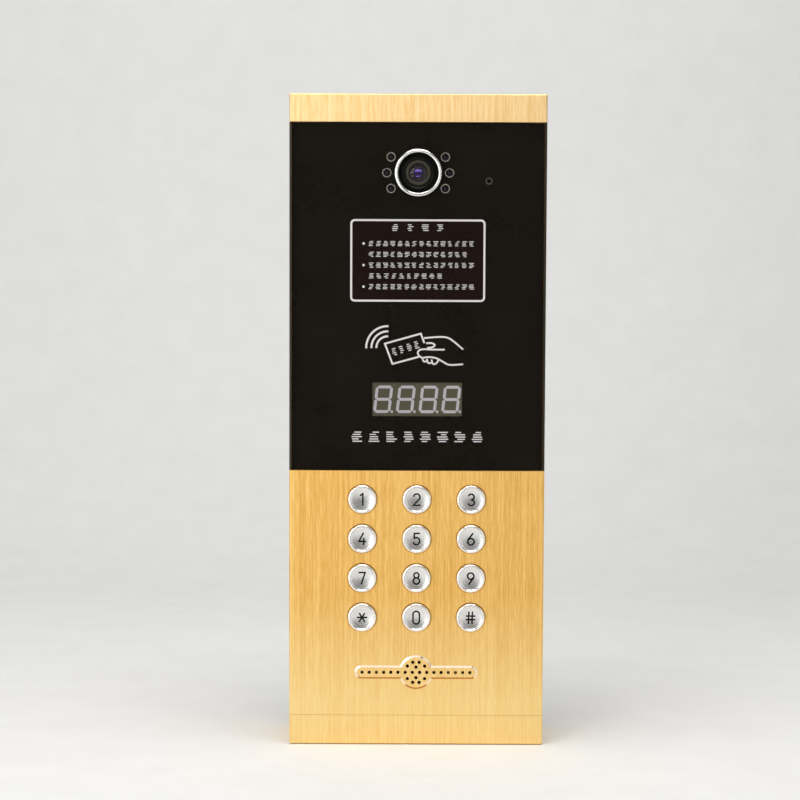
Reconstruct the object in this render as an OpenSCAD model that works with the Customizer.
// Door intercom panel: an extruded aluminium body with two end caps, a printed window over a
// camera, a card reader and a four-digit display, twelve metal keys and a loudspeaker grille.
// It hangs on a steel wall bracket. The origin is at the centre of the bracket's back face,
// +Z is up and the front of the panel looks along -Y. All sizes are in millimetres.

/* [Body] */
// Width of the panel
panel_w = 143; // [138:1:150]
// Height of the panel with both end caps
panel_h = 365; // [362:1:372]
// Depth from the wall to the front face
panel_d = 50; // [50:1:56]
// Thickness of the side walls and of the end caps' walls
wall_t = 2.2; // [1.8:0.1:2.4]
// Thickness of the extrusion's front wall
front_t = 3; // [2.8:0.1:3.2]
// Height of the top cap
top_cap_h = 15.7; // [15:0.1:17]
// Height of the bottom cap
bottom_cap_h = 16.8; // [15:0.2:23]
// Radius of the long front edges
edge_r = 1.2; // [0.6:0.1:1.4]
// Gap between the extrusion and each end cap
cap_gap = 0.12; // [0.05:0.01:0.2]
// Radius of the top corners seen from the front
top_corner_r = 0.6; // [0.2:0.1:1.8]
// Radius of the bottom corners seen from the front
bottom_corner_r = 1.7; // [0.2:0.1:1.8]

/* [Window] */
// Height of the window
window_h = 194; // [193:0.5:195]
// Width of the aluminium lip beside the window
lip_w = 1.2; // [1:0.1:1.6]
// Thickness of the clear window
glass_t = 2.5; // [2:0.1:2.6]
// Thickness of the black print behind the window
print_t = 0.2; // [0.1:0.05:0.3]
// Thickness of the adhesive tape that holds the window
tape_t = 0.8; // [0.5:0.1:0.9]

/* [Camera] */
// Distance from the top of the panel to the camera's axis
camera_drop = 43.6; // [43:0.1:46]
// Outside diameter of the camera's bezel
bezel_d = 26.4; // [26:0.1:28]
// Bore of the camera's bezel
bezel_bore = 21.8; // [21.4:0.1:22]
// Diameter of the camera's ball
ball_d = 26; // [25.8:0.1:26.2]
// Diameter of the lens barrel's head
lens_d = 13.6; // [13:0.1:14]
// Radius of the circle of infrared lamps
led_circle_r = 17.4; // [17:0.1:18]
// Angle between neighbouring infrared lamps
led_step = 30; // [28:1:34]
// Outside diameter of an infrared lamp's bezel
led_bezel_d = 5; // [4.6:0.1:5.2]
// Distance of the microphone hole from the panel's centre line
mic_x = 39.4; // [39:0.1:42]
// Distance from the top of the panel to the microphone hole
mic_drop = 48; // [46:0.1:52]

/* [Display] */
// Width of the display module
display_w = 50.3; // [50:0.1:51]
// Height of the display module
display_h = 19; // [18.5:0.1:19.5]
// Distance from the top of the panel to the middle of the display
display_drop = 169.8; // [168:0.1:171]
// Distance between neighbouring digits
digit_pitch = 12.7; // [12.5:0.1:12.8]

/* [Card reader] */
// Distance from the top of the panel to the middle of the antenna board
card_drop = 139.8; // [138:0.1:140]

/* [Keypad] */
// Diameter of a key
key_d = 16; // [15:0.1:16.4]
// Distance between neighbouring key columns
key_pitch_x = 30.5; // [30:0.1:31]
// Distance between neighbouring key rows
key_pitch_z = 22.25; // [22:0.05:22.4]
// Distance from the top of the panel to the middle of the keypad
keypad_drop = 259.2; // [258.5:0.1:260]
// How far a key stands out of the front wall
key_proud = 2; // [1.8:0.1:2.5]
// Stroke of a key
key_travel = 1.5; // [1:0.1:1.5]
// Width of an engraved stroke on a key
stroke_w = 0.8; // [0.6:0.1:1.1]

/* [Loudspeaker] */
// Distance from the top of the panel to the middle of the grille
grille_drop = 323.8; // [323.5:0.1:324.5]
// Distance between neighbouring holes in the grille's long row
grille_pitch = 4.05; // [3.9:0.05:4.1]
// Diameter of a grille hole
grille_hole_d = 1.9; // [1.5:0.1:2.1]
// Diameter of the loudspeaker
speaker_d = 40; // [36:1:40]

/* [Wall bracket] */
// Width of the wall bracket
bracket_w = 96; // [90:1:104]
// Height of the wall bracket's plate
bracket_h = 300; // [296:1:304]
// Thickness of the wall bracket
bracket_t = 1.5; // [1.2:0.1:1.6]
// Distance between the wall screws across the bracket
wall_screw_x = 60; // [50:1:66]
// Distance between the wall screws along the bracket
wall_screw_z = 240; // [220:1:250]
// Diameter of a wall screw's hole
wall_screw_d = 4.5; // [4:0.1:5.5]
// Width of the opening for the building's cable
cable_w = 60; // [54:1:64]
// Height of the opening for the building's cable
cable_h = 34; // [30:1:36]

/* [Hidden] */
$fn = 64;

// Colours
gold = "#e3b260";
black_print = "#14120e";
steel = "#b9bcc0";
zinc = "#a9adb0";
board_green = "#1f5a38";
board_black = "#23262a";

// Levels along Y, from the front face at -panel_d to the wall at 0
front_y = -panel_d;
wall_back_y = front_y + front_t;
glass_back_y = front_y + glass_t;
print_back_y = glass_back_y + print_t;
ledge_y = print_back_y + tape_t;
ledge_back_y = ledge_y + 2;
carrier_t = 1.5;
carrier_back_y = ledge_back_y + carrier_t;
skirt_y = -2;
cover_back_y = -5;
cover_t = 1.5;
cover_front_y = cover_back_y - cover_t;
main_front_y = -30;
main_back_y = -28.4;
fit_gap = 0.2;

// Heights along Z
top_z = panel_h / 2;
body_top_z = top_z - top_cap_h;
body_low_z = bottom_cap_h - top_z;
body_h = body_top_z - body_low_z;
window_low_z = body_top_z - window_h;
camera_z = top_z - camera_drop;
mic_z = top_z - mic_drop;
display_z = top_z - display_drop;
card_z = top_z - card_drop;
keypad_z = top_z - keypad_drop;
grille_z = top_z - grille_drop;
cable_z = -60;

// Widths along X
half_w = panel_w / 2;
inner_x = half_w - wall_t;
ledge_x = inner_x - 6.3;
pocket_x = half_w - lip_w;

// Screw ports inside the extrusion: [distance from the centre line, Y]
port_r = 3.4;
port_hole_r = 1.4;
port_x = inner_x - 4.1;
port_ys = [wall_back_y + 8.4, -14];
ports = [for (sx = [-1, 1], y = port_ys) [sx * port_x, y]];

// Camera
ball_r = ball_d / 2;
ball_y = front_y + 10.5;
ball_face_y = front_y + 0.4;
ball_back_y = ball_y + 8;
pin_r = 1.5;
pin_gap = 0.05;
pin_x = 18.2;
bezel_y = front_y - 2;
bezel_seat_r = 12;
led_angles = [for (side = [0, 180], k = [-1, 0, 1]) side + k * led_step];
leds = [for (a = led_angles) [led_circle_r * cos(a), camera_z + led_circle_r * sin(a)]];
led_r = 1.5;
led_bore_r = led_bezel_d / 2 - 0.45;
led_board_y = front_y + 5.8;
frame_front_y = carrier_back_y;
frame_half_x = 33;
frame_half_z = 21;
carrier_hole_x = 26;
carrier_hole_z = 15.5;

// Display
display_y = print_back_y + 0.1;
display_depth = 8;
segment_h = 15.4;
segment_w = 9.7;
segment_t = 1.6;
segment_slant = 6.5;

// Keypad
key_r = key_d / 2;
key_gap = 0.2;
key_face_y = front_y - key_proud;
key_flange_r = key_r + 1.4;
key_flange_y = wall_back_y + 0.2;
key_bottom_y = key_flange_y + 1.2;
dish_r = key_r - 1.1;
dish_depth = 0.8;
dish_sphere_r = (dish_r * dish_r + dish_depth * dish_depth) / (2 * dish_depth);
engrave_depth = 0.3;
key_pocket_r = 5.5;
key_pocket_y = key_bottom_y - 3;
mat_front_y = key_bottom_y + 1.7;
mat_back_y = mat_front_y + 1.7;
keypad_board_back_y = mat_back_y + 1.6;
keypad_studs = [
    for (sx = [-1, 1]) [sx * key_pitch_x / 2, keypad_z],
    for (sx = [-1, 1], sz = [-1, 1]) [sx * 46, keypad_z + sz * 33]
];
KEYS = [["1", "2", "3"], ["4", "5", "6"], ["7", "8", "9"], ["star", "0", "hash"]];

// Loudspeaker
speaker_r = speaker_d / 2;
gasket_back_y = wall_back_y + 2;
bracket_back_y = gasket_back_y + 1.5;
speaker_studs = [for (sx = [-1, 1], sz = [-1, 1]) [sx * 39, grille_z + sz * 12]];
grille_row = 16;
grille_r = 9.6;
grille_bar_h = 7.5;
grille_bar_w = 69.2;
grille_rise = 0.45;
grille_chamfer = 1;

// Screws
m3_shank_r = 1.2;
m3_hole_r = 1.25;
m3_clear_r = 1.7;
m3_head_r = 2.8;
m3_head_h = 1.8;
cover_studs = [for (sx = [-1, 1], z = [-100, 80]) [sx * 50, z]];
cover_screws = [for (sx = [-1, 1], z = [-150, 0, 150]) [sx * (inner_x - 3.4), z]];
frame_screws = [for (sx = [-1, 1], sz = [-1, 1]) [sx * 29.5, camera_z + sz * 18]];
display_studs = [for (sx = [-1, 1], sz = [-1, 1]) [sx * 30.5, display_z + sz * 11]];
security_x = 8;
security_y = -14;

// Tamper switch
tamper_x = 40;
tamper_z = -125;
tamper_r = 1.5;
tamper_travel = 1.5;

// Wall bracket
hook_x = 30;
hook_z = 137;
hook_w = 10;
tongue_half_x = 14;
tongue_z = -top_z + 5;
cable_clear = 2;

// ---------- shared shapes ----------

// A box from its lowest corner to its highest corner
module slab(low, high) {
    translate(low) cube(high - low);
}

// A round bar along Y at [x, z]
module rod_y(at, y0, y1, r) {
    translate([at[0], y0, at[1]]) rotate([-90, 0, 0]) cylinder(r = r, h = y1 - y0);
}

// A cone along Y at [x, z], from radius r0 at y0 to r1 at y1
module cone_y(at, y0, y1, r0, r1) {
    translate([at[0], y0, at[1]]) rotate([-90, 0, 0]) cylinder(r1 = r0, r2 = r1, h = y1 - y0);
}

// A ring along Y at [x, z]
module ring_y(at, y0, y1, r_out, r_in) {
    difference() {
        rod_y(at, y0, y1, r_out);
        rod_y(at, y0 - 1, y1 + 1, r_in);
    }
}

// A flat shape, drawn as X and Z, given thickness along Y
module sheet_y(y0, y1) {
    translate([0, y1, 0]) rotate([90, 0, 0]) linear_extrude(y1 - y0) children();
}

// A rectangle with round corners, centred
module round_rect(w, h, r) {
    square([w - 2 * r, h], center = true);
    square([w, h - 2 * r], center = true);
    for (sx = [-1, 1], sz = [-1, 1])
        translate([sx * (w / 2 - r), sz * (h / 2 - r)]) circle(r);
}

// An M3 pan-head screw along Y. Its head starts at y and its shank runs the other way
module pan_screw_y(at, y, length, towards) {
    head = towards < 0 ? [y, y + m3_head_h] : [y - m3_head_h, y];
    shank = towards < 0 ? [y - length, y] : [y, y + length];
    difference() {
        union() {
            rod_y(at, head[0], head[1], m3_head_r);
            rod_y(at, shank[0], shank[1], m3_shank_r);
        }
        face_y = y - towards * m3_head_h;
        slot_y = [face_y - 1, face_y + 1];
        for (turn = [0, 90])
            translate([at[0], 0, at[1]]) rotate([0, turn, 0])
                slab([-1.7, slot_y[0], -0.35], [1.7, slot_y[1], 0.35]);
    }
}

// A countersunk screw along Z with its flat face at z. Its shank runs up or down
module countersunk_screw_z(x, y, z, head_r, shank_r, length, up) {
    translate([x, y, z]) mirror([0, 0, up ? 0 : 1]) difference() {
        union() {
            cylinder(r1 = head_r, r2 = shank_r, h = head_r - shank_r);
            cylinder(r = shank_r, h = length);
        }
        translate([0, 0, -1]) cylinder(r = head_r * 0.42, h = 2.2, $fn = 6);
    }
}

// ---------- engraved figures ----------

// Points along part of an ellipse
function arc(c, rx, ry, a0, a1, n = 12) =
    [for (i = [0:n]) let (a = a0 + (a1 - a0) * i / n) [c[0] + rx * cos(a), c[1] + ry * sin(a)]];

function unit(v) = v / norm(v);

// The sideways direction at point i of a path
function side_of(path, i) =
    let (
        last = len(path) - 1,
        before = unit(path[max(i, 1)] - path[max(i, 1) - 1]),
        after = unit(path[min(i, last - 1) + 1] - path[min(i, last - 1)]),
        along = unit(before + after),
        reach = 1 / max(0.5, sqrt((1 + before * after) / 2))
    )
    [-along[1], along[0]] * reach;

// A round pen's half circle about c, starting from the direction v
function pen_end(c, v) =
    [for (a = [30:30:150]) c + [v[0] * cos(a) - v[1] * sin(a), v[0] * sin(a) + v[1] * cos(a)]];

// A path drawn with a pen of width w and round ends
module stroke(path, w) {
    last = len(path) - 1;
    polygon(concat(
        [for (i = [0:last]) path[i] - side_of(path, i) * w / 2],
        pen_end(path[last], -side_of(path, last) * w / 2),
        [for (i = [last:-1:0]) path[i] + side_of(path, i) * w / 2],
        pen_end(path[0], side_of(path, 0) * w / 2)
    ));
}

// The strokes of each key's figure, about its middle
function figure(name) =
    name == "1" ? [[[-1, 2.3], [0.3, 3.2], [0.3, -3.2]]] :
    name == "2" ? [concat(arc([0, 1.4], 1.8, 1.8, 165, -35), [[-1.8, -3.2], [1.9, -3.2]])] :
    name == "3" ? [arc([0, 1.6], 1.6, 1.6, 150, -90), arc([0, -1.6], 1.8, 1.6, 90, -150)] :
    name == "4" ? [[[0.6, 3.2], [-1.8, -1.5], [1.9, -1.5]], [[0.9, 0.1], [0.9, -3.2]]] :
    name == "5" ? [[[1.6, 3.2], [-1.2, 3.2], [-1.4, 0.4]], arc([-0.1, -1.2], 1.9, 2, 128, -150)] :
    name == "6" ? [
        [[1, 3.2], [-1.5, -0.2]],
        for (a = [0, 180]) arc([0, -1.4], 1.8, 1.8, a, a + 180)
    ] :
    name == "7" ? [[[-1.7, 3.2], [1.7, 3.2], [-0.4, -3.2]]] :
    name == "8" ? [
        for (a = [90, 270]) arc([0, 1.7], 1.4, 1.5, a, a + 180),
        for (a = [90, 270]) arc([0, -1.5], 1.8, 1.7, a, a + 180)
    ] :
    name == "9" ? [for (path = figure("6")) [for (p = path) -p]] :
    name == "0" ? [
        concat(arc([0, 1.9], 1.8, 1.7, 0, 180), arc([0, -1.9], 1.8, 1.7, 180, 200, 2)),
        concat(arc([0, -1.9], 1.8, 1.7, 180, 360), [[1.8, 2]])
    ] :
    name == "star" ? [for (a = [0, 58, 122]) [2.6 * [-cos(a), -sin(a)], 2.6 * [cos(a), sin(a)]]] :
    [
        for (s = [-1, 1]) [[s - 0.1, -3.2], [s + 0.1, 3.2]],
        for (s = [-1, 1]) [[-2.3, s], [2.3, s]]
    ];

// ---------- body ----------

// The extrusion's section, in X and Y
module body_section() {
    difference() {
        union() {
            translate([-half_w, front_y + edge_r]) square([panel_w, skirt_y - front_y - edge_r]);
            translate([-half_w + edge_r, front_y]) square([panel_w - 2 * edge_r, 2 * edge_r]);
            for (sx = [-1, 1])
                translate([sx * (half_w - edge_r), front_y + edge_r]) circle(edge_r);
        }
        translate([-inner_x, wall_back_y]) square([2 * inner_x, panel_d]);
    }
    // ledges behind the window and flanges that carry the rear cover
    for (sx = [-1, 1]) mirror([sx < 0 ? 1 : 0, 0]) {
        translate([ledge_x, wall_back_y - 0.5])
            square([inner_x - ledge_x + 0.5, ledge_back_y - wall_back_y + 0.5]);
        translate([inner_x - 6.8, cover_front_y - 2.5]) square([7.3, 2.5]);
    }
    for (p = ports) difference() {
        union() {
            translate(p) circle(port_r);
            translate([p[0] > 0 ? p[0] : -inner_x - 0.5, p[1] - 2])
                square([inner_x + 0.5 - port_x, 4]);
        }
        translate(p) circle(port_hole_r);
    }
}

// The raised field round the loudspeaker's holes
module grille_field() {
    y0 = front_y - grille_rise;
    y1 = front_y + 0.5;
    grow = (y1 - y0) * grille_chamfer / grille_rise;
    bar_r = grille_bar_h / 2;
    cone_y([0, grille_z], y0, y1, grille_r - grille_chamfer, grille_r - grille_chamfer + grow);
    for (sx = [-1, 1])
        cone_y([sx * (grille_bar_w / 2 - bar_r), grille_z], y0, y1,
            bar_r - grille_chamfer, bar_r - grille_chamfer + grow);
    half = bar_r - grille_chamfer;
    translate([-grille_bar_w / 2 + bar_r, 0, grille_z]) rotate([90, 0, 90])
        linear_extrude(grille_bar_w - 2 * bar_r)
            polygon([[y0, -half], [y0, half], [y1, half + grow], [y1, -half - grow]]);
}

// Places of the grille's holes, as [x, z]
function grille_holes() = [
    for (i = [0:grille_row - 1]) [(i - (grille_row - 1) / 2) * grille_pitch, grille_z],
    for (sz = [-1, 1]) [0, grille_z + sz * 3],
    for (sx = [-1, 1], sz = [-1, 1]) [sx * 1.8, grille_z + sz * 5.7],
    for (sx = [-1, 1], sz = [-1, 1]) [sx * 4.85, grille_z + sz * 3.6]
];

module front_panel() {
    color(gold) difference() {
        union() {
            translate([0, 0, body_low_z]) linear_extrude(body_h) body_section();
            grille_field();
            for (p = keypad_studs) rod_y(p, wall_back_y - 0.5, mat_back_y, 2.6);
            for (p = speaker_studs) rod_y(p, wall_back_y - 0.5, gasket_back_y, 2.6);
        }
        // pocket for the window
        slab([-pocket_x, front_y - 1, window_low_z], [pocket_x, ledge_y, body_top_z + 1]);
        for (row = [0:3], col = [0:2]) {
            rod_y(key_at(row, col), front_y - 1, wall_back_y + 1, key_r + key_gap);
            cone_y(key_at(row, col), front_y - 0.01, front_y + 0.35,
                key_r + key_gap + 0.36, key_r + key_gap);
        }
        for (p = grille_holes()) rod_y(p, front_y - 2, wall_back_y + 1, grille_hole_d / 2);
        for (p = keypad_studs) rod_y(p, wall_back_y + 0.6, mat_back_y + 1, m3_hole_r);
        for (p = speaker_studs) rod_y(p, wall_back_y - 1.4, gasket_back_y + 1, m3_hole_r);
        for (p = cover_screws) rod_y(p, cover_front_y - 4, cover_front_y + 1, m3_hole_r);
    }
}

// An end cap of height cap_h, drawn as the top one: its open side faces down
module end_cap(cap_h, corner_r, open_back) {
    z0 = top_z - cap_h;
    difference() {
        union() {
            difference() {
                intersection() {
                    translate([0, 0, z0 + cap_gap]) linear_extrude(cap_h) cap_section();
                    cap_side_view(cap_h);
                    sheet_y(front_y - 1, 1) round_rect(panel_w, panel_h, corner_r);
                }
                slab([-inner_x, front_y + 2.4, z0 - 1], [inner_x, skirt_y - wall_t, top_z - wall_t]);
            }
            for (p = ports) translate([p[0], p[1], z0 + cap_gap]) cylinder(r = port_r, h = cap_h - 1);
            for (p = ports) {
                x0 = p[0] > 0 ? p[0] : -inner_x - 0.5;
                slab([x0, p[1] - 2, z0 + cap_gap], [x0 + inner_x + 0.5 - port_x, p[1] + 2, top_z - 1]);
            }
        }
        for (p = ports) {
            translate([p[0], p[1], z0 - 1]) cylinder(r = 1.6, h = cap_h + 2);
            translate([p[0], p[1], top_z - 1.5]) cylinder(r1 = 1.6, r2 = 3.1, h = 1.5);
        }
        if (open_back) slab([-22, skirt_y - 6, z0 - 1], [22, 1, top_z - wall_t]);
    }
}

// The end cap's outline seen from above
module cap_section() {
    translate([-half_w, front_y + edge_r]) square([panel_w, skirt_y - front_y - edge_r]);
    translate([-half_w + edge_r, front_y]) square([panel_w - 2 * edge_r, 2 * edge_r]);
    for (sx = [-1, 1]) translate([sx * (half_w - edge_r), front_y + edge_r]) circle(edge_r);
}

// The end cap's outline seen from the side, with its front edge rounded
module cap_side_view(cap_h) {
    translate([-half_w - 1, 0, 0]) rotate([90, 0, 90]) linear_extrude(panel_w + 2) {
        translate([front_y, top_z - cap_h]) square([skirt_y - front_y, cap_h - edge_r]);
        translate([front_y + edge_r, top_z - cap_h]) square([skirt_y - front_y - edge_r, cap_h]);
        translate([front_y + edge_r, top_z - edge_r]) circle(edge_r);
    }
}

module top_cap() {
    color(gold) end_cap(top_cap_h, top_corner_r, false);
}

module bottom_cap() {
    color(gold) difference() {
        mirror([0, 0, 1]) end_cap(bottom_cap_h, bottom_corner_r, true);
        for (sx = [-1, 1]) {
            translate([sx * security_x, security_y, -top_z - 1]) cylinder(r = 2.3, h = 6);
            translate([sx * security_x, security_y, -top_z]) cylinder(r1 = 4, r2 = 2.2, h = 1.8);
            // drain holes
            translate([sx * 45, -30, -top_z - 1]) cylinder(r = 1.5, h = 6);
        }
    }
}

module cap_screws() {
    color(steel) for (p = ports) {
        countersunk_screw_z(p[0], p[1], top_z - 0.05, 2.9, 1.3, top_cap_h + 8, false);
        countersunk_screw_z(p[0], p[1], -top_z + 0.05, 2.9, 1.3, bottom_cap_h + 8, true);
    }
}

// ---------- window ----------

// The holes that the glass and the print share, grown by a margin
module window_holes(margin) {
    translate([0, camera_z]) circle(bezel_seat_r + 0.1 + margin);
    for (p = leds) translate(p) circle(led_bezel_d / 2 + 0.05 + margin);
    translate([mic_x, mic_z]) circle(2.1 + margin);
}

module window_outline(inset) {
    translate([0, window_low_z + window_h / 2])
        square([2 * (pocket_x - inset), window_h - 2 * inset], center = true);
}

module window_glass() {
    color("#1d1b17", 0.6) sheet_y(front_y, glass_back_y) difference() {
        window_outline(0.15);
        window_holes(0);
    }
}

module window_print() {
    color(black_print) sheet_y(glass_back_y, print_back_y) difference() {
        window_outline(0.2);
        window_holes(0.1);
        translate([0, display_z]) square([display_w, display_h], center = true);
    }
}

module window_tape() {
    color("#2b2b2b") sheet_y(print_back_y, ledge_y) difference() {
        window_outline(0.4);
        window_outline(pocket_x - ledge_x + 0.6);
    }
}

module window_carrier() {
    color(board_black) {
        difference() {
            union() {
                sheet_y(ledge_back_y, carrier_back_y) difference() {
                    translate([0, (window_low_z - 4 + body_top_z) / 2])
                        square([2 * (inner_x - 0.4), window_h + 3.6], center = true);
                    translate([0, camera_z])
                        square([2 * carrier_hole_x, 2 * carrier_hole_z], center = true);
                    translate([mic_x, mic_z]) circle(5.7);
                    translate([0, display_z]) square([display_w + 1, display_h + 1], center = true);
                }
                // bars that back the tape above and below the opening
                for (z = [window_low_z + 0.4, body_top_z - 7])
                    slab([-ledge_x + 0.2, ledge_y, z], [ledge_x - 0.2, ledge_back_y + 0.5, z + 6.4]);
                for (p = display_studs)
                    rod_y(p, carrier_back_y - 0.5, display_y + display_depth, 2.5);
            }
            for (p = display_studs)
                rod_y(p, carrier_back_y - 0.8, display_y + display_depth + 1, m3_hole_r);
            for (p = frame_screws) rod_y(p, ledge_y, carrier_back_y + 1, m3_hole_r);
        }
    }
}

// ---------- camera, lamps and microphone ----------

module camera_bezel() {
    r_in = bezel_bore / 2;
    r_out = bezel_d / 2;
    color("#e8e8e6") translate([0, 0, camera_z]) rotate([-90, 0, 0]) rotate_extrude() polygon(concat(
        [[r_in, glass_back_y + 0.5], [r_in, bezel_y + 1.4], [r_in + 0.5, bezel_y + 0.3]],
        [for (a = [115:-15:10]) [r_out - 1.1 + 1.1 * cos(a), bezel_y + 1.1 - 1.1 * sin(a)]],
        [[r_out, bezel_y + 1.2], [r_out, front_y]],
        [[bezel_seat_r, front_y], [bezel_seat_r, glass_back_y + 0.5]]
    ));
}

module led_bezels() {
    color("#8f8c80") for (p = leds) difference() {
        rod_y(p, front_y - 0.15, glass_back_y - 0.2, led_bezel_d / 2);
        rod_y(p, front_y - 1, glass_back_y + 1, led_bore_r);
        cone_y(p, front_y - 0.16, front_y + 0.1, led_bore_r + 0.2, led_bore_r);
    }
}

module ir_leds() {
    color("#241f2e") for (p = leds) {
        rod_y(p, front_y + 1.9, led_board_y, led_r);
        translate([p[0], front_y + 1.9, p[1]]) sphere(led_r);
        rod_y(p, led_board_y - 1, led_board_y, led_r + 0.4);
    }
}

module ir_led_board() {
    color(board_black) sheet_y(led_board_y, led_board_y + 1) difference() {
        translate([0, camera_z]) square([2 * carrier_hole_x - 1.6, 2 * carrier_hole_z - 1.4], center = true);
        translate([0, camera_z]) circle(13.2);
    }
}

module camera_frame() {
    color("#30343a") difference() {
        slab([-frame_half_x, frame_front_y, camera_z - frame_half_z],
            [frame_half_x, ball_y + 3.3, camera_z + frame_half_z]);
        slab([-14.4, frame_front_y - 1, camera_z - 15.6], [14.4, ball_y + 5, camera_z + 15.6]);
        // bores for the ball's pins
        for (sx = [-1, 1])
            translate([sx * 16.9, ball_y, camera_z]) rotate([0, 90, 0])
                cylinder(r = pin_r + pin_gap, h = 5, center = true);
        for (p = frame_screws) rod_y(p, frame_front_y - 1, ball_y + 5, m3_clear_r);
        // pockets that lighten the sides
        for (sx = [-1, 1], sz = [-1, 1])
            slab([sx > 0 ? 20.5 : -32, ball_y - 1.5, sz > 0 ? camera_z + 3 : camera_z - 13.5],
                [sx > 0 ? 32 : -20.5, ball_y + 5, sz > 0 ? camera_z + 13.5 : camera_z - 3]);
    }
}

module camera_ball() {
    color("#17181a") difference() {
        union() {
            intersection() {
                translate([0, ball_y, camera_z]) sphere(ball_r);
                slab([-20, ball_face_y, camera_z - 20], [20, ball_back_y, camera_z + 20]);
            }
            for (sx = [-1, 1])
                translate([sx * (pin_x + 11) / 2, ball_y, camera_z]) rotate([0, 90, 0])
                    cylinder(r = pin_r, h = pin_x - 11, center = true);
        }
        rod_y([0, camera_z], ball_face_y - 1, ball_back_y + 1, 6.1);
        rod_y([0, camera_z], ball_face_y - 1, ball_face_y + 0.95, lens_d / 2 + 0.1);
    }
}

module lens_barrel() {
    color("#3c3a33") difference() {
        union() {
            rod_y([0, camera_z], ball_face_y - 1.2, ball_face_y + 0.9, lens_d / 2);
            rod_y([0, camera_z], ball_face_y, ball_back_y - 3, 6);
        }
        cone_y([0, camera_z], ball_face_y - 1.21, ball_face_y - 0.4, 5.7, 5);
        rod_y([0, camera_z], ball_face_y - 2, ball_face_y + 4, 5);
        rod_y([0, camera_z], ball_face_y + 3, ball_back_y, 3.4);
    }
}

module lens_glass() {
    cap_rise = 0.9;
    cap_r = 4.9;
    cap_sphere_r = (cap_r * cap_r + cap_rise * cap_rise) / (2 * cap_rise);
    seat_y = ball_face_y + 0.6;
    half_angle = asin(cap_r / cap_sphere_r);
    color("#3b2f66") translate([0, 0, camera_z]) rotate([-90, 0, 0]) rotate_extrude() polygon(concat(
        [for (i = [0:8]) let (a = half_angle * i / 8)
            [cap_sphere_r * sin(a), seat_y - cap_rise + cap_sphere_r * (1 - cos(a))]],
        [[cap_r, seat_y + 1.4], [0, seat_y + 1.4]]
    ));
}

module camera_board() {
    color(board_green) difference() {
        slab([-13, ball_back_y, camera_z - 13], [13, ball_back_y + 1.2, camera_z + 13]);
        for (sx = [-1, 1], sz = [-1, 1])
            rod_y([sx * 11, camera_z + sz * 11], ball_back_y - 1, ball_back_y + 3, 1);
    }
}

module camera_chips() {
    color("#1b1b1d") {
        slab([-3.6, ball_back_y - 1, camera_z - 3.6], [3.6, ball_back_y, camera_z + 3.6]);
        slab([-3, ball_back_y + 1.2, camera_z - 1], [3, ball_back_y + 2.2, camera_z + 5]);
        slab([-5, ball_back_y + 1.2, camera_z - 11.5], [5, ball_back_y + 5.2, camera_z - 7]);
    }
}

module mic_bezel() {
    color("#55534d") difference() {
        ring_y([mic_x, mic_z], front_y + 0.1, glass_back_y - 0.1, 1.9, 1.3);
        cone_y([mic_x, mic_z], front_y + 0.09, front_y + 0.3, 1.5, 1.3);
    }
}

module mic_boot() {
    color("#202020") difference() {
        rod_y([mic_x, mic_z], print_back_y, carrier_back_y + 2, 5.4);
        rod_y([mic_x, mic_z], print_back_y - 1, carrier_back_y + 3, 1);
        rod_y([mic_x, mic_z], print_back_y + 1.6, carrier_back_y + 3, 3.05);
    }
}

module microphone() {
    color(steel) {
        rod_y([mic_x, mic_z], print_back_y + 1.7, print_back_y + 4.4, 3);
        for (sx = [-1, 1]) rod_y([mic_x + sx * 1.27, mic_z], print_back_y + 4.3, print_back_y + 7, 0.3);
    }
}

// ---------- display and card reader ----------

module display_module() {
    color("#4a483d") slab([-display_w / 2 + 0.1, display_y, display_z - display_h / 2 + 0.1],
        [display_w / 2 - 0.1, display_y + display_depth, display_z + display_h / 2 - 0.1]);
}

// One bar of a digit, from a to b, with pointed ends
module segment(a, b) {
    along = unit(b - a);
    across = [-along[1], along[0]] * segment_t / 2;
    tip = along * segment_t / 2;
    polygon([a, a + tip + across, b - tip + across, b, b - tip - across, a + tip - across]);
}

// A point of a digit, leaned over to the right
function lean(p) = [p[0] + p[1] * tan(segment_slant), p[1]];

module digit() {
    w = (segment_w - segment_t) / 2;
    h = (segment_h - segment_t) / 2;
    gap = 0.12;
    for (z = [-h, 0, h]) segment(lean([-w + gap, z]), lean([w - gap, z]));
    for (sx = [-1, 1], z = [-h, 0]) segment(lean([sx * w, z + gap]), lean([sx * w, z + h - gap]));
    translate([w + 1.6 - h * tan(segment_slant), -h]) circle(0.75);
}

module display_segments() {
    color("#b9b5b8") sheet_y(display_y - 0.08, display_y)
        for (i = [0:3]) translate([(i - 1.5) * digit_pitch, display_z]) digit();
}

module display_board() {
    y0 = display_y + display_depth;
    color(board_green) sheet_y(y0, y0 + 1.6) difference() {
        translate([0, display_z]) square([68, 28], center = true);
        for (p = display_studs) translate(p) circle(m3_clear_r);
    }
}

module antenna_board() {
    color(board_green) slab([-32, carrier_back_y, card_z - 14], [32, carrier_back_y + 1, card_z + 14]);
}

module antenna_coil() {
    turns = 4;
    pitch = 1.7;
    color("#b87333") sheet_y(carrier_back_y + 1, carrier_back_y + 1.15)
        for (i = [0:turns - 1]) translate([0, card_z]) difference() {
            round_rect(60 - 2 * i * pitch, 24 - 2 * i * pitch, 1.2);
            round_rect(60 - 2 * i * pitch - 1.6, 24 - 2 * i * pitch - 1.6, 0.6);
        }
}

// ---------- keypad ----------

// The middle of a key, as [x, z]
function key_at(row, col) = [(col - 1) * key_pitch_x, keypad_z + (1.5 - row) * key_pitch_z];

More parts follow.
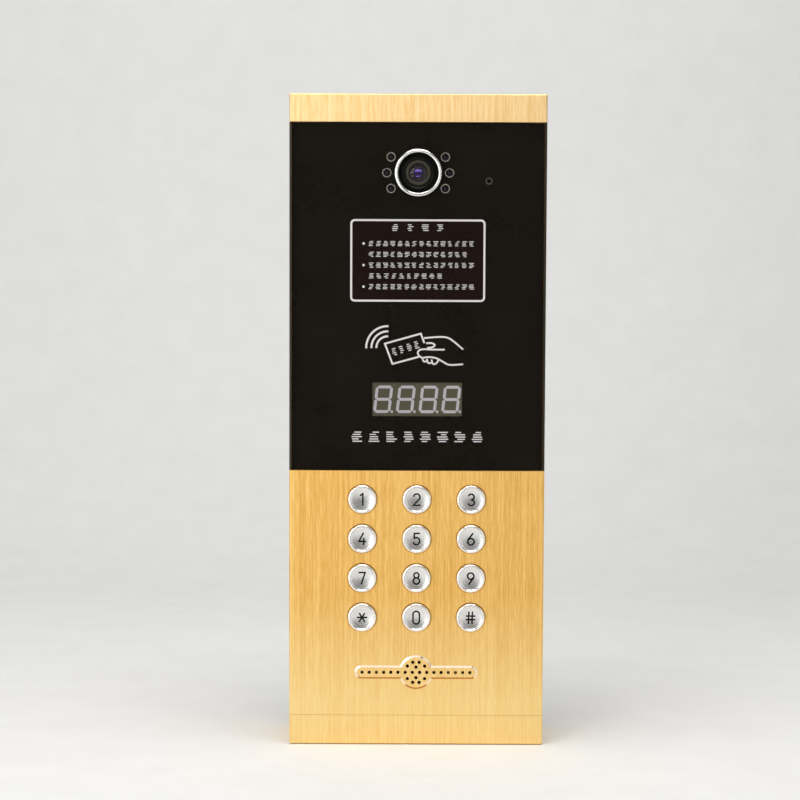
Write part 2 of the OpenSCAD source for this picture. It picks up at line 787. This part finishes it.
module key(row, col) {
    at = key_at(row, col);
    color(zinc) difference() {
        union() {
            cone_y(at, key_face_y, key_face_y + 0.5, key_r - 0.5, key_r);
            rod_y(at, key_face_y + 0.5, key_bottom_y, key_r);
            rod_y(at, key_flange_y, key_bottom_y, key_flange_r);
        }
        // dished face
        translate([at[0], key_face_y + dish_depth - dish_sphere_r, at[1]]) sphere(dish_sphere_r, $fn = 96);
        translate([at[0], 0, at[1]]) sheet_y(key_face_y - 1, key_face_y + dish_depth + engrave_depth)
            for (path = figure(KEYS[row][col])) stroke(path, stroke_w);
        // room for the rubber dome
        rod_y(at, key_pocket_y, key_bottom_y + 1, key_pocket_r);
    }
}

module key_mat() {
    color("#8a8d90") difference() {
        union() {
            slab([-42, mat_front_y, keypad_z - 42.5], [42, mat_back_y, keypad_z + 42.5]);
            for (row = [0:3], col = [0:2])
                cone_y(key_at(row, col), key_pocket_y + key_travel + 0.15, mat_front_y + 0.5, 3.6, 4.6);
        }
        for (p = keypad_studs) rod_y(p, mat_front_y - 1, mat_back_y + 1, 2.9);
        // hollow of each dome
        for (row = [0:3], col = [0:2]) rod_y(key_at(row, col), mat_back_y - 2.6, mat_back_y + 1, 2.6);
    }
}

module keypad_board() {
    color(board_green) sheet_y(mat_back_y, keypad_board_back_y) difference() {
        translate([0, keypad_z]) square([102, 85], center = true);
        for (p = keypad_studs) translate(p) circle(m3_clear_r);
    }
}

// ---------- loudspeaker ----------

module speaker_gasket() {
    color("#2a2a2a") sheet_y(wall_back_y, gasket_back_y) translate([0, grille_z]) difference() {
        square([70, 40], center = true);
        square([65, 35], center = true);
    }
}

module speaker_bracket() {
    color(steel) sheet_y(gasket_back_y, bracket_back_y) difference() {
        translate([0, grille_z]) square([86, 40.4], center = true);
        translate([0, grille_z]) circle(speaker_r - 2.2);
        for (p = speaker_studs) translate(p) circle(m3_clear_r);
    }
}

module speaker_basket() {
    r = speaker_r;
    y = bracket_back_y;
    color("#2e3134") translate([0, 0, grille_z]) rotate([-90, 0, 0]) difference() {
        rotate_extrude() polygon([
            [r, y], [r, y + 1.2], [r - 1, y + 1.2], [11.5, y + 7.5], [11.5, y + 8.5],
            [4, y + 8.5], [4, y + 7.5], [10.5, y + 7.5], [r - 2.3, y + 1], [r - 2.3, y]
        ]);
        // windows in the basket
        for (a = [0:3]) rotate([0, 0, 45 + 90 * a]) translate([15, 0, y + 5]) cube([6, 9, 5], center = true);
    }
}

module speaker_cone() {
    r = speaker_r - 2.6;
    y = bracket_back_y;
    color("#1a1a1a") translate([0, 0, grille_z]) rotate([-90, 0, 0]) rotate_extrude() polygon([
        [r, y + 0.2], [r, y + 0.7], [r - 1.6, y + 0.3], [7, y + 4.8], [0, y + 2.6], [0, y + 2.2],
        [7, y + 4.3], [r - 1.7, y - 0.2]
    ]);
}

module speaker_magnet() {
    y = bracket_back_y + 8.5;
    color("#77797c") {
        rod_y([0, grille_z], y, y + 5, 11);
        rod_y([0, grille_z], y + 5, y + 6.5, 10);
    }
}

// ---------- electronics ----------

module main_board() {
    color(board_green) sheet_y(main_front_y, main_back_y) difference() {
        translate([0, -12]) square([116, 200], center = true);
        for (p = cover_studs) translate(p) circle(m3_clear_r);
    }
}

// A chip on the main board, on its back or front side: [x, z, width, height, thickness, side]
CHIPS = [
    [0, 20, 14, 14, 1.6, 1], [-26, 24, 10, 7, 1.5, 1], [30, 30, 7.5, 12.5, 2, 1],
    [-28, 52, 18, 11, 2.2, 1], [22, 58, 9, 6, 1.5, 1], [-38, -84, 6.5, 9, 4.6, 1],
    [0, -10, 20, 7.5, 3, -1], [20, 34, 12, 9, 2, -1]
];

module board_chips() {
    color("#18191b") for (c = CHIPS) {
        y = c[5] > 0 ? main_back_y : main_front_y - c[4];
        slab([c[0] - c[2] / 2, y, c[1] - c[3] / 2], [c[0] + c[2] / 2, y + c[4], c[1] + c[3] / 2]);
    }
}

module board_capacitors() {
    color("#2a3450") for (c = [[28, -18, 5, 16], [41, -18, 5, 16], [44, -36, 4, 11.5], [44, 8, 4, 11.5]])
        difference() {
            rod_y([c[0], c[1]], main_back_y, main_back_y + c[3], c[2]);
            ring_y([c[0], c[1]], main_back_y + 1.6, main_back_y + 2.2, c[2] + 1, c[2] - 0.3);
        }
}

module door_relay() {
    color("#2f5f9a") slab([-47, main_back_y, -30], [-28, main_back_y + 15.3, -14.5]);
}

module terminal_block() {
    ways = 12;
    pitch = 5.08;
    half = ways * pitch / 2;
    color("#2f8f4e") difference() {
        slab([-half, main_back_y, cable_z - 5], [half, main_back_y + 13.5, cable_z + 5]);
        // sloping shoulder with the wire mouths below and the screws behind
        for (i = [0:ways - 1]) {
            x = (i - (ways - 1) / 2) * pitch;
            slab([x - 1.8, main_back_y + 2.5, cable_z - 6], [x + 1.8, main_back_y + 7.5, cable_z - 1]);
            rod_y([x, cable_z + 0.6], main_back_y + 10.5, main_back_y + 14, 1.9);
        }
    }
}

// A board plug: [x, z, width, front side]
HEADERS = [[0, 72, 16], [-36, 72, 8], [30, 72, 8], [0, -52, 16], [40, -80, 6]];

module board_headers() {
    color("#e6e2d6") for (h = HEADERS) difference() {
        slab([h[0] - h[2] / 2, main_front_y - 5, h[1] - 2.9], [h[0] + h[2] / 2, main_front_y, h[1] + 2.9]);
        slab([h[0] - h[2] / 2 + 0.8, main_front_y - 6, h[1] - 2.1],
            [h[0] + h[2] / 2 - 0.8, main_front_y - 1, h[1] + 2.1]);
    }
}

// Flat cables: one from the keypad board and one from the display board to the main board
module ribbon_cables() {
    t = 0.6;
    plug_y = main_front_y - 1;
    color("#9aa0a6") {
        // keypad board to main board
        translate([-6, 0, 0]) rotate([90, 0, 90]) linear_extrude(12) polygon([
            [keypad_board_back_y, -52 - 14], [keypad_board_back_y, -52 - 14 + t],
            [keypad_board_back_y + 3 - t, -52 - 14 + t], [keypad_board_back_y + 3 - t, -52 + t / 2],
            [plug_y, -52 + t / 2], [plug_y, -52 - t / 2], [keypad_board_back_y + 3, -52 - t / 2],
            [keypad_board_back_y + 3, -52 - 14]
        ]);
        // display board to main board
        y0 = display_y + display_depth + 1.6;
        translate([-6, 0, 0]) rotate([90, 0, 90]) linear_extrude(12) polygon([
            [y0, display_z + 4], [y0, display_z + 4 + t], [y0 + 1.4, display_z + 4 + t],
            [y0 + 1.4, 72 + t / 2], [plug_y, 72 + t / 2], [plug_y, 72 - t / 2],
            [y0 + 1.4 + t, 72 - t / 2], [y0 + 1.4 + t, display_z + 4]
        ]);
    }
}

module board_screws() {
    color(steel) {
        for (p = keypad_studs) pan_screw_y(p, keypad_board_back_y, 5, -1);
        for (p = speaker_studs) pan_screw_y(p, bracket_back_y, 4, -1);
        for (p = cover_studs) pan_screw_y(p, main_front_y, 6, 1);
        for (p = frame_screws) pan_screw_y(p, ball_y + 3.3, 8, -1);
        for (p = display_studs) pan_screw_y(p, display_y + display_depth + 1.6, 4, -1);
    }
}

// ---------- rear ----------

module rear_cover() {
    color("#3a3d40") difference() {
        union() {
            slab([-inner_x + 0.3, cover_front_y, body_low_z + 0.5],
                [inner_x - 0.3, cover_back_y, body_top_z - 0.5]);
            for (p = cover_studs) rod_y(p, main_back_y, cover_front_y + 0.5, 3);
            // folded edges of the cable opening
            for (sz = [-1, 1])
                slab([-cable_w / 2, cover_front_y - 3, cable_z + sz * (cable_h / 2 + 0.75) - 0.75],
                    [cable_w / 2, cover_back_y - 0.5, cable_z + sz * (cable_h / 2 + 0.75) + 0.75]);
        }
        slab([-cable_w / 2, cover_front_y - 5, cable_z - cable_h / 2],
            [cable_w / 2, cover_back_y + 1, cable_z + cable_h / 2]);
        for (p = cover_studs) rod_y(p, main_back_y - 1, cover_front_y - 8, m3_hole_r);
        for (p = cover_screws) rod_y(p, cover_front_y - 1, cover_back_y + 1, m3_clear_r);
        // slots for the bracket's hooks
        for (sx = [-1, 1])
            slab([sx * hook_x - 6, cover_front_y - 1, hook_z - 1.5],
                [sx * hook_x + 6, cover_back_y + 1, hook_z + 9]);
        rod_y([tamper_x, tamper_z], cover_front_y - 1, cover_back_y + 1, tamper_r + 0.5);
        // slots behind the loudspeaker
        for (i = [-3:3]) slab([-15, cover_front_y - 1, grille_z + i * 4.5 - 0.9],
            [15, cover_back_y + 1, grille_z + i * 4.5 + 0.9]);
    }
}

module rear_screws() {
    color(steel) for (p = cover_screws) pan_screw_y(p, cover_back_y, 5, -1);
}

module tamper_switch() {
    color("#222428") difference() {
        slab([tamper_x - 6.4, cover_front_y - 8.8, tamper_z - 3.2],
            [tamper_x + 6.4, cover_front_y, tamper_z + 3.2]);
        rod_y([tamper_x, tamper_z], cover_front_y - 7.4, cover_front_y + 1, tamper_r + 0.1);
    }
}

module tamper_plunger() {
    color("#d8d5cc") rod_y([tamper_x, tamper_z], cover_front_y - 5.6, -bracket_t - 0.2, tamper_r);
}

module wall_seal() {
    color("#1c1c1c") sheet_y(skirt_y, -0.2) difference() {
        square([panel_w - 0.6, panel_h - 0.6], center = true);
        square([panel_w - 6, panel_h - 6], center = true);
    }
}

module wall_bracket() {
    half = bracket_h / 2;
    color("#c3c6c8") difference() {
        union() {
            sheet_y(-bracket_t, 0) square([bracket_w, bracket_h], center = true);
            // hooks at the top
            for (sx = [-1, 1]) {
                slab([sx * hook_x - hook_w / 2, cover_front_y - 2, hook_z - bracket_t],
                    [sx * hook_x + hook_w / 2, 0, hook_z]);
                slab([sx * hook_x - hook_w / 2, cover_front_y - 2, hook_z - bracket_t],
                    [sx * hook_x + hook_w / 2, cover_front_y - 2 + bracket_t, hook_z + 6]);
            }
            // tongue for the security screws at the bottom
            slab([-tongue_half_x, -bracket_t, tongue_z], [tongue_half_x, 0, -half + 1]);
            slab([-tongue_half_x, -22, tongue_z], [tongue_half_x, -bracket_t + 0.5, tongue_z + bracket_t]);
        }
        for (sx = [-1, 1]) {
            // gap that each hook is folded out of
            slab([sx * hook_x - hook_w / 2 - 0.5, -bracket_t - 0.1, hook_z],
                [sx * hook_x + hook_w / 2 + 0.5, 1, hook_z + 8]);
            translate([sx * security_x, security_y, tongue_z - 1]) cylinder(r = 1.7, h = 5);
            for (sz = [-1, 1])
                rod_y([sx * wall_screw_x / 2, sz * wall_screw_z / 2], -bracket_t - 1, 1, wall_screw_d / 2);
        }
        slab([-cable_w / 2 - cable_clear, -bracket_t - 1, cable_z - cable_h / 2 - cable_clear],
            [cable_w / 2 + cable_clear, 1, cable_z + cable_h / 2 + cable_clear]);
    }
}

module security_screws() {
    color(steel) for (sx = [-1, 1])
        countersunk_screw_z(sx * security_x, security_y, -top_z + 0.05, 3.7, 1.6, 10, true);
}

// ---------- nodes ----------

front_panel();
top_cap();
bottom_cap();
cap_screws();
window_glass();
window_print();
window_tape();
window_carrier();
camera_bezel();
led_bezels();
ir_leds();
ir_led_board();
camera_frame();
camera_ball();
lens_barrel();
lens_glass();
camera_board();
camera_chips();
mic_bezel();
mic_boot();
microphone();
display_module();
display_segments();
display_board();
antenna_board();
antenna_coil();
for (row = [0:3], col = [0:2])
    key(row, col);
key_mat();
keypad_board();
board_screws();
speaker_gasket();
speaker_bracket();
speaker_basket();
speaker_cone();
speaker_magnet();
main_board();
board_chips();
board_capacitors();
door_relay();
terminal_block();
board_headers();
ribbon_cables();
tamper_switch();
tamper_plunger();
rear_cover();
rear_screws();
wall_seal();
wall_bracket();
security_screws();
